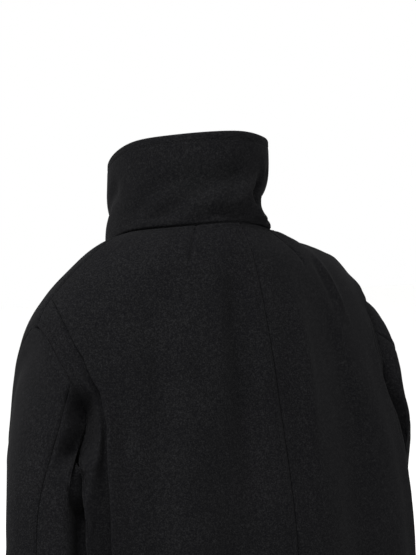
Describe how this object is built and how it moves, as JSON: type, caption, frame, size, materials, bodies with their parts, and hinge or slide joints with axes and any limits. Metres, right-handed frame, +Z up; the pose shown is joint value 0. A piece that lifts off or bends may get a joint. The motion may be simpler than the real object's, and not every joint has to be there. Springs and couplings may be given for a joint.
{
  "type": "wool biker jacket",
  "caption": "Black wool biker jacket worn empty, with a tall standing collar, swing pleats behind the arms and an offset front zip.",
  "frame": {"origin": "middle of the neck seam, where the jacket hangs on its wearer", "axes": "+Z up, the jacket's front faces -Y, +X is the wearer's left"},
  "size_m": [0.6029, 0.3479, 0.7498],
  "materials": {
    "wool": "matte felted black wool melton",
    "zip_tape": "matte woven black tape",
    "zip_metal": "dark nickel"
  },
  "bodies": {
    "jacket": {"back_left": "wool", "back_right": "wool", "side_back_left": "wool", "side_back_right": "wool", "front_left": "wool", "front_right": "wool", "top_sleeve_left": "wool", "top_sleeve_right": "wool", "under_sleeve_left": "wool", "under_sleeve_right": "wool", "collar": "wool", "zip_tape_left": "zip_tape", "zip_tape_right": "zip_tape", "zip_slider": "zip_metal"},
    "pull": {"zip_pull": "zip_metal"}
  },
  "joints": [
    {"name": "zip_pull_hinge", "type": "hinge", "parent": "jacket", "child": "pull", "pos_m": [0.04513, -0.08732, 0.05627], "axis": [-0.901, -0.4338, 0.0002], "range_deg": [0, 150]}
  ]
}
